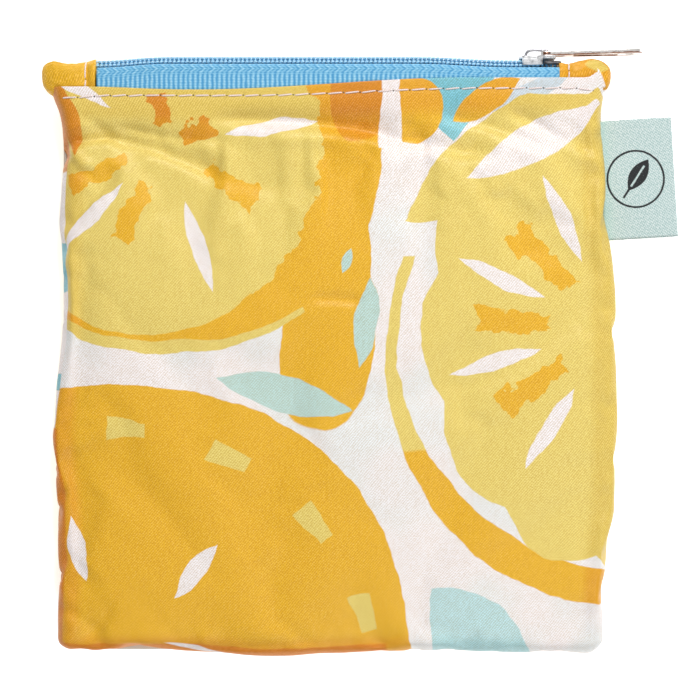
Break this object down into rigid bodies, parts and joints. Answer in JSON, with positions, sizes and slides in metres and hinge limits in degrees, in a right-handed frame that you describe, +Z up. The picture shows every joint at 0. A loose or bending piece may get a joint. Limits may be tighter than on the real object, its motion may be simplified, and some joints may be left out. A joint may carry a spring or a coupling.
{
  "type": "zipped pouch with folded tote bag",
  "caption": "Flat zipped cloth pouch that holds a foldable tote bag, with coil zipper, end tabs, metal slider and pull, topstitching and a woven side label.",
  "frame": {"origin": "on the pouch's flat underside, midway between its zipper edge and its bottom edge", "axes": "+X along the zipper towards its closed end and the label, +Y towards the zipper, +Z up through the thickness, away from what it lies on"},
  "size_m": [0.1476, 0.1415, 0.011],
  "materials": {
    "printed_cloth": "satin-weave printed polyester, matt lustre",
    "tote_cloth": "printed ripstop polyester, soft sheen",
    "strap_cloth": "doubled printed polyester strap",
    "zipper_tape": "woven herringbone tape",
    "zipper_coil": "nylon monofilament coil",
    "thread": "spun polyester sewing thread",
    "seam_edge": "overlocked raw cloth edge",
    "slider_metal": "bright nickel plate",
    "pull_metal": "nickel plate worn to brass at its edges",
    "stop_metal": "pressed metal",
    "woven_label": "woven twill label"
  },
  "bodies": {
    "back_side": {"pouch_back_panel": "printed_cloth", "topstitch_back": "thread", "zipper_tape_back": "zipper_tape", "zipper_coil_back": "zipper_coil", "zipper_bottom_stop": "stop_metal", "zipper_top_stop_back": "stop_metal", "end_tab_left": "printed_cloth", "end_tab_right": "printed_cloth", "tab_stitch_left": "thread", "tab_stitch_right": "thread", "seam_allowance_left": "seam_edge", "seam_allowance_right": "seam_edge", "seam_allowance_bottom": "seam_edge", "tote_front_sheet": "tote_cloth", "tote_back_sheet": "tote_cloth", "tote_handle_front": "strap_cloth", "tote_handle_back": "strap_cloth"},
    "front_side": {"pouch_front_panel": "printed_cloth", "topstitch_front": "thread", "zipper_tape_front": "zipper_tape", "zipper_coil_front": "zipper_coil", "zipper_top_stop_front": "stop_metal"},
    "zip_slider": {"slider_body": "slider_metal", "slider_bail": "slider_metal"},
    "zip_pull": {"pull_tab": "pull_metal"},
    "label": {"side_label": "woven_label"}
  },
  "joints": [
    {"name": "zip_slide", "type": "slide", "parent": "back_side", "child": "zip_slider", "axis": [-1, 0, 0], "range_m": [0, 0.096], "deforming": ["zipper_coil_front", "zipper_coil_back"]},
    {"name": "mouth_open", "type": "hinge", "parent": "back_side", "child": "front_side", "pos_m": [0, -0.069, 0.0055], "axis": [1, 0, 0], "range_deg": [0, 8]},
    {"name": "pull_swing", "type": "hinge", "parent": "zip_slider", "child": "zip_pull", "pos_m": [0.0499, 0.0712, 0.0055], "axis": [0, 0, 1], "range_deg": [0, 178]},
    {"name": "label_flap", "type": "hinge", "parent": "back_side", "child": "label", "pos_m": [0.0646, 0.0415, 0.0055], "axis": [0, -1, 0], "range_deg": [-16, 80], "stiffness_Nm_per_rad": 0.0015}
  ],
  "couplings": [
    {"joint": "mouth_open", "follows": "zip_slide", "rad_per_m": 1.454}
  ]
}
